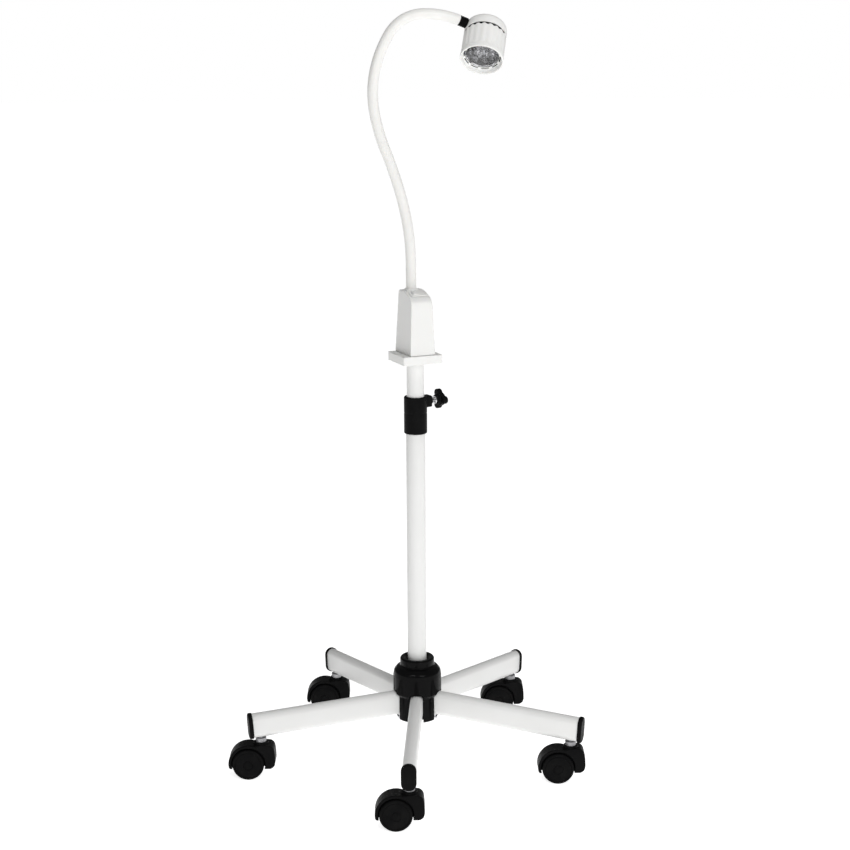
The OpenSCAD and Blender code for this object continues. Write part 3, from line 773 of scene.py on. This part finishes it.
# rear cap: a shallow bowl with a soft edge
cap_prof = rprof([(0, -11.8), (22.0, -11.6), (28.8, -9.4), (31.9, -3.4), (32.3, 3), (32.3, 8.6), (31.2, 8.6), (29.2, 8.6), (28.9, -2.5), (24.5, -8.8), (0, -9.2)],
                 [0, 22, 10, 9, 8, 0.6, 0.3, 0.4, 5, 4, 0], 7)
piece("head_dome", lambda bm: lathe(bm, cap_prof, 120, LAMP), "white_plastic", "head", ("head_rear_cap",), sharp=34)

def build_painted_gap_shade(bm):
    # black rings painted in as shade: the dark inside seen through the rear gap and through the front slots
    lathe(bm, rprof([(27.3, 8.0), (30.7, 8.0), (30.7, 13.0), (27.3, 13.0)], 0.3, 2, True), 96, LAMP, closed=True)
    lathe(bm, rprof([(25.7, 47.95), (28.3, 47.95), (28.3, 48.6), (25.7, 48.6)], 0.1, 2, True), 96, LAMP, closed=True)


piece("head_painted_shade_ring", build_painted_gap_shade, "painted_gap_shade", "head", ("head_vent_ring",))


def flute(a):
    """0 on a crest, 1 in the bottom of a flute; twenty round the barrel"""
    return (0.5 + 0.5 * math.cos(20 * a)) ** 1.3


def barrel(a, r, z):
    if r < 30.2:
        return (r, z + (0.9 * flute(a) if z < 13 else 0))
    if z > 49.5:
        return r
    f = flute(a)
    k = min(1.0, max(0.0, (48.6 - z) / 3.0))
    k = k * k * (3 - 2 * k)
    dz = 1.9 * f if z < 13.4 else (0.9 * f if z < 16 else 0)
    return (r - 0.62 * f * k, z + dz)


def build_barrel(bm):
    prof = [(29.1, 11.2), (31.0, 10.6), (31.7, 10.9), (32.1, 11.7), (32.3, 13.0)]
    prof += [(32.35, z) for z in (15, 18, 22, 26, 30, 34, 38, 42, 44.6, 45.6, 46.4, 47.2, 48.0, 48.6, 49.2)]
    prof += [(32.35, 49.9), (32.0, 50.1), (29.1, 50.1)]
    lathe(bm, prof, 240, LAMP, closed=True, radial=barrel)


piece("head_barrel", build_barrel, "white_plastic", "head", ("head_body",), sharp=40)

# front ring: sloping inner wall with vent slots
ring_prof = rprof([(25.5, 47.7), (28.9, 47.7), (28.9, 50.15), (32.3, 50.15), (32.8, 50.9), (32.8, 55.9), (32.1, 57.0), (31.2, 57.0), (30.4, 55.8), (28.9, 50.9), (28.2, 49.6), (25.5, 49.3)],
                  [0.2, 0.2, 0.2, 0.4, 0.4, 0.9, 0.4, 0.4, 0.8, 0.8, 0.5, 0.3], 4, True)
front = shape("front_ring", lambda bm: lathe(bm, ring_prof, 144, LAMP, closed=True))


def slots(bm):
    for k in range(10):
        a0 = math.radians(36 * k + 18)
        hw = math.radians(13.2)
        pts = [Vector((26.0 * math.cos(a0 + t * hw), 26.0 * math.sin(a0 + t * hw))) for t in [-1 + j / 6 for j in range(13)]]
        pts = [Vector((28.0 * math.cos(a0 + t * hw), 28.0 * math.sin(a0 + t * hw))) for t in [-1 + j / 6 for j in range(13)]] + pts[::-1]
        prism(bm, pts, 44, 58, 0, 0, LAMP)


boolean(front, shape("cut", slots))
finish_piece(front, "white_plastic", "head", ("bezel",), sharp=34, weigh=True)


def build_reflector(bm):
    n = 28
    prof = [(5.2, 14.6), (7.4, 15.4), (10.2, 17.8), (12.9, 21.0), (15.4, 24.9), (17.6, 29.4), (19.6, 34.0), (21.3, 39.0), (22.9, 45.0)]
    rows = []
    for j, (r, z) in enumerate(prof):
        off = 0.5 if j % 2 else 0.0
        rows.append([bm.verts.new(LAMP @ Vector((r * math.cos(2 * PI * (k + off) / n), r * math.sin(2 * PI * (k + off) / n), z))) for k in range(n)])
    for j in range(len(rows) - 1):
        a, b = rows[j], rows[j + 1]
        for k in range(n):
            k1 = (k + 1) % n
            if j % 2 == 0:
                bm.faces.new((a[k], a[k1], b[k]))
                bm.faces.new((a[k1], b[k1], b[k]))
            else:
                bm.faces.new((a[k], b[k1], b[k]))
                bm.faces.new((a[k], a[k1], b[k1]))
    # rim and outside of the lamp
    out = [(23.4, 46.2), (25.1, 46.9), (25.2, 47.4), (25.2, 46.2), (23.9, 44.0), (21.4, 35.0), (18.0, 27.0), (13.4, 19.6), (8.6, 15.3), (5.2, 14.2)]
    prev = rows[-1]
    for r, z in out:
        row = [bm.verts.new(LAMP @ Vector((r * math.cos(2 * PI * k / n), r * math.sin(2 * PI * k / n), z))) for k in range(n)]
        for k in range(n):
            k1 = (k + 1) % n
            bm.faces.new((prev[k], prev[k1], row[k1], row[k]))
        prev = row
    for k in range(n):
        k1 = (k + 1) % n
        bm.faces.new((prev[k], prev[k1], rows[0][k1], rows[0][k]))


piece("lamp_mirror", build_reflector, "reflector", "head", ("lamp_reflector",), sharp=4)

piece("lamp_lens", lambda bm: lathe(bm, rprof([(0, 47.6), (24.9, 47.6), (25.1, 48.7), (0, 48.8)], [0, 0.3, 0.4, 0], 3), 96, LAMP), "glass", "head", ("lamp_glass",))


def build_capsule(bm):
    lathe(bm, rprof([(0, 14.4), (3.9, 14.4), (4.3, 17), (4.9, 21), (4.9, 29.5), (3.4, 33.4), (1.2, 35.0), (0, 35.2)], [0, 0.4, 2, 2, 2, 2.5, 1, 0], 5), 48, LAMP)


piece("lamp_bulb", build_capsule, "quartz", "head", ("lamp_capsule",), sharp=50)


def build_filament(bm):
    lathe(bm, rprof([(0, 18), (0.9, 18), (0.9, 22.5), (0, 22.5)], [0, 0.3, 0.3, 0], 2), 20, LAMP @ T(1.6, 0, 0))
    lathe(bm, rprof([(0, 18), (0.9, 18), (0.9, 22.5), (0, 22.5)], [0, 0.3, 0.3, 0], 2), 20, LAMP @ T(-1.6, 0, 0))
    prof = [(0, -2.7)]
    for k in range(12):
        z = -2.6 + k * 0.44
        prof += [(0.55, z), (0.8, z + 0.15), (0.55, z + 0.3)]
    prof += [(0, 2.8)]
    lathe(bm, prof, 20, LAMP @ T(0, 0, 26.5) @ R(90, "Y"))


piece("lamp_filament", build_filament, "filament", "head", (), sharp=50)

# --------------------------------------------------------------------------
# casters
# --------------------------------------------------------------------------
TRAIL, WR, SR = 20.0, 25.0, 256.0


def solid_outline():
    """outside of the hood seen from its side, wheel space filled; x = 0 at the stem, counter-clockwise"""
    ro = WR + 6.3
    arc = [(-TRAIL + ro * math.cos(math.radians(a)), WR + ro * math.sin(math.radians(a))) for a in range(70, 184, 4)]
    rest = fillet([arc[-1], (-TRAIL - 30.4, 17.2), (15.5, 17.2), (21.3, 21.0), (22.9, 28), (22.4, 40), (21.0, 51.0), (15.5, 56.3), (7, 57.0), (-2, 56.8), arc[0]],
                  [0, 4.4, 7, 8, 14, 18, 12, 9, 20, 14, 0], False, 6)
    out = [Vector(p) for p in arc[:-1]] + rest[:-1]
    res = [out[0]]
    for p in out[1:]:
        if (p - res[-1]).length > 0.3:
            res.append(p)
    return res


def ensure_ccw(p):
    a = sum(p[i - 1].x * p[i].y - p[i].x * p[i - 1].y for i in range(len(p)))
    return p if a > 0 else list(reversed(p))


def make_hood():
    SIDE = R(90, "X")      # outline (x, z) swept along -y
    h = shape("hood", lambda bm: prism(bm, ensure_ccw(solid_outline()), -14.5, 14.5, 0, 0, SIDE, 1))
    neck = shape("n", lambda bm: lathe(bm, [(0, 50), (11.5, 50), (11.5, 59.4), (0, 59.4)], 56))
    boolean(h, neck, "UNION")
    for sgn in (-1, 1):
        w = shape("w", lambda bm: prism(bm, circle(WR + 1.5, 96), 2.6, 30, 0, 0, T(-TRAIL, 0, WR) @ R(90 * sgn, "X")))
        boolean(h, w)
    md = h.modifiers.new("rm", "REMESH")
    md.mode = "VOXEL"
    md.voxel_size = 0.7
    applied(h)
    md = h.modifiers.new("sm", "SMOOTH")
    md.factor = 0.5
    md.iterations = 9
    applied(h)
    return h


hood0 = make_hood()
rib_src = hood0.data.copy()
bpy.data.objects.remove(hood0)


def build_wheel(sgn):
    def f(bm, F):
        prof = rprof([(0, 3.1), (22.5, 3.1), (24.2, 3.4), (25.0, 5.2), (25.0, 14.6), (24.3, 16.6), (22.4, 17.7), (21.4, 17.7), (20.9, 16.9), (20.1, 16.9), (19.6, 17.6), (12, 17.95),
                      (8.2, 18.0), (7.6, 17.2), (6.4, 17.2), (5.6, 18.0), (0, 18.2)],
                     [0, 0.6, 0.9, 1.6, 1.8, 1.2, 0.5, 0.3, 0.3, 0.3, 0.4, 2, 0.3, 0.3, 0.3, 0.6, 0], 3)
        lathe(bm, prof, 96, F)
    return f


for k in range(5):
    a = math.radians(leg_dir(k))
    C = T(MX + SR * math.cos(a), MY + SR * math.sin(a), 0)
    me = rib_src.copy()
    me.transform(C)
    o = bpy.data.objects.new("caster_%d_cover" % (k + 1), me)
    bpy.context.scene.collection.objects.link(o)
    finish_piece(o, "black_matte", "caster_%d" % (k + 1), ("caster_%d_hood" % (k + 1),), sharp=30, weigh=True)
    for nm, sgn in (("a", 1), ("b", -1)):
        F = C @ T(-TRAIL, 0, WR) @ R(-90 * sgn, "X")
        piece("caster_%d_disc_%s" % (k + 1, nm), lambda bm, F=F: build_wheel(1)(bm, F), "black_wheel", "caster_%d_wheel_%s" % (k + 1, nm),
              ("caster_%d_wheel_%s" % (k + 1, nm),), sharp=34)

# --------------------------------------------------------------------------
# materials on the CAD nodes that stay
# --------------------------------------------------------------------------
KEEP = {"leg_screws": "steel", "caster_stems": "core_steel", "clamp_pad": "gray_plastic", "tube_glide": "gray_plastic", "transformer": "gray_plastic",
        "housing_screws": "steel", "neck_clip": "steel", "neck_end_pin": "steel", "lamp_base": "ceramic", "lamp_socket": "ceramic"}
for k in range(1, 6):
    KEEP["caster_%d_axle" % k] = "steel"
for n, mt in KEEP.items():
    o = NODES[n]
    o.data.materials.clear()
    o.data.materials.append(M[mt])

# --------------------------------------------------------------------------
# floor, world, lights
# --------------------------------------------------------------------------
bm = bmesh.new()
bmesh.ops.create_circle(bm, cap_ends=True, radius=30, segments=96)
me = bpy.data.meshes.new("studio_floor")
bm.to_mesh(me)
bm.free()
floor = bpy.data.objects.new("studio_floor", me)
bpy.context.scene.collection.objects.link(floor)
fm = bpy.data.materials.new("studio_floor")
fm.use_nodes = True
nt = fm.node_tree
b = nt.nodes["Principled BSDF"]
b.inputs["Roughness"].default_value = 0.7
b.inputs["Specular IOR Level"].default_value = 0.0
b.inputs["Base Color"].default_value = (0.86, 0.86, 0.86, 1)
b.inputs["Emission Color"].default_value = (1, 1, 1, 1)
b.inputs["Emission Strength"].default_value = 0.80
me.materials.append(fm)

w = bpy.data.worlds.new("studio")
bpy.context.scene.world = w
w.use_nodes = True
wn = w.node_tree
bg = wn.nodes["Background"]
bg.inputs["Color"].default_value = (1, 1, 1, 1)
bg.inputs["Strength"].default_value = 0.26
bg2 = wn.nodes.new("ShaderNodeBackground")
bg2.inputs["Color"].default_value = (1, 1, 1, 1)
bg2.inputs["Strength"].default_value = 1.0
lp = wn.nodes.new("ShaderNodeLightPath")
mx = wn.nodes.new("ShaderNodeMixShader")
wn.links.new(lp.outputs["Is Camera Ray"], mx.inputs[0])
wn.links.new(bg.outputs[0], mx.inputs[1])
wn.links.new(bg2.outputs[0], mx.inputs[2])
bg3 = wn.nodes.new("ShaderNodeBackground")
bg3.inputs["Color"].default_value = (1, 1, 1, 1)
bg3.inputs["Strength"].default_value = 0.22
mx2 = wn.nodes.new("ShaderNodeMixShader")
wn.links.new(lp.outputs["Is Glossy Ray"], mx2.inputs[0])
wn.links.new(mx.outputs[0], mx2.inputs[1])
wn.links.new(bg3.outputs[0], mx2.inputs[2])
wn.links.new(mx2.outputs[0], wn.nodes["World Output"].inputs["Surface"])


def area(name, pos, target, size, energy, glossy=True, size_y=None):
    d = bpy.data.lights.new(name, "AREA")
    d.shape = "RECTANGLE"
    d.size = size
    d.size_y = size_y or size
    d.energy = energy
    o = bpy.data.objects.new(name, d)
    bpy.context.scene.collection.objects.link(o)
    o.location = pos
    o.rotation_euler = (Vector(target) - Vector(pos)).to_track_quat("-Z", "Y").to_euler()
    o.visible_glossy = glossy
    return o


area("key", (1.1, -2.7, 1.6), (0, 0, 0.6), 1.2, 38, glossy=False, size_y=1.8)
area("top", (0.5, -0.2, 2.9), (0, 0, 0), 1.6, 14, glossy=False)
for i, (x, y) in enumerate(((-1.05, -1.75), (-0.62, -1.95), (0.62, -1.95), (0.95, -1.80), (1.25, -1.60))):
    area("accent_%d" % i, (x, y, 1.75), (0, 0, 0.15), 0.13, 5.0, size_y=0.06).visible_diffuse = False

vs = bpy.context.scene.view_settings
vs.view_transform = "Standard"
vs.look = "None"
vs.exposure = 0.0
vs.gamma = 1.0
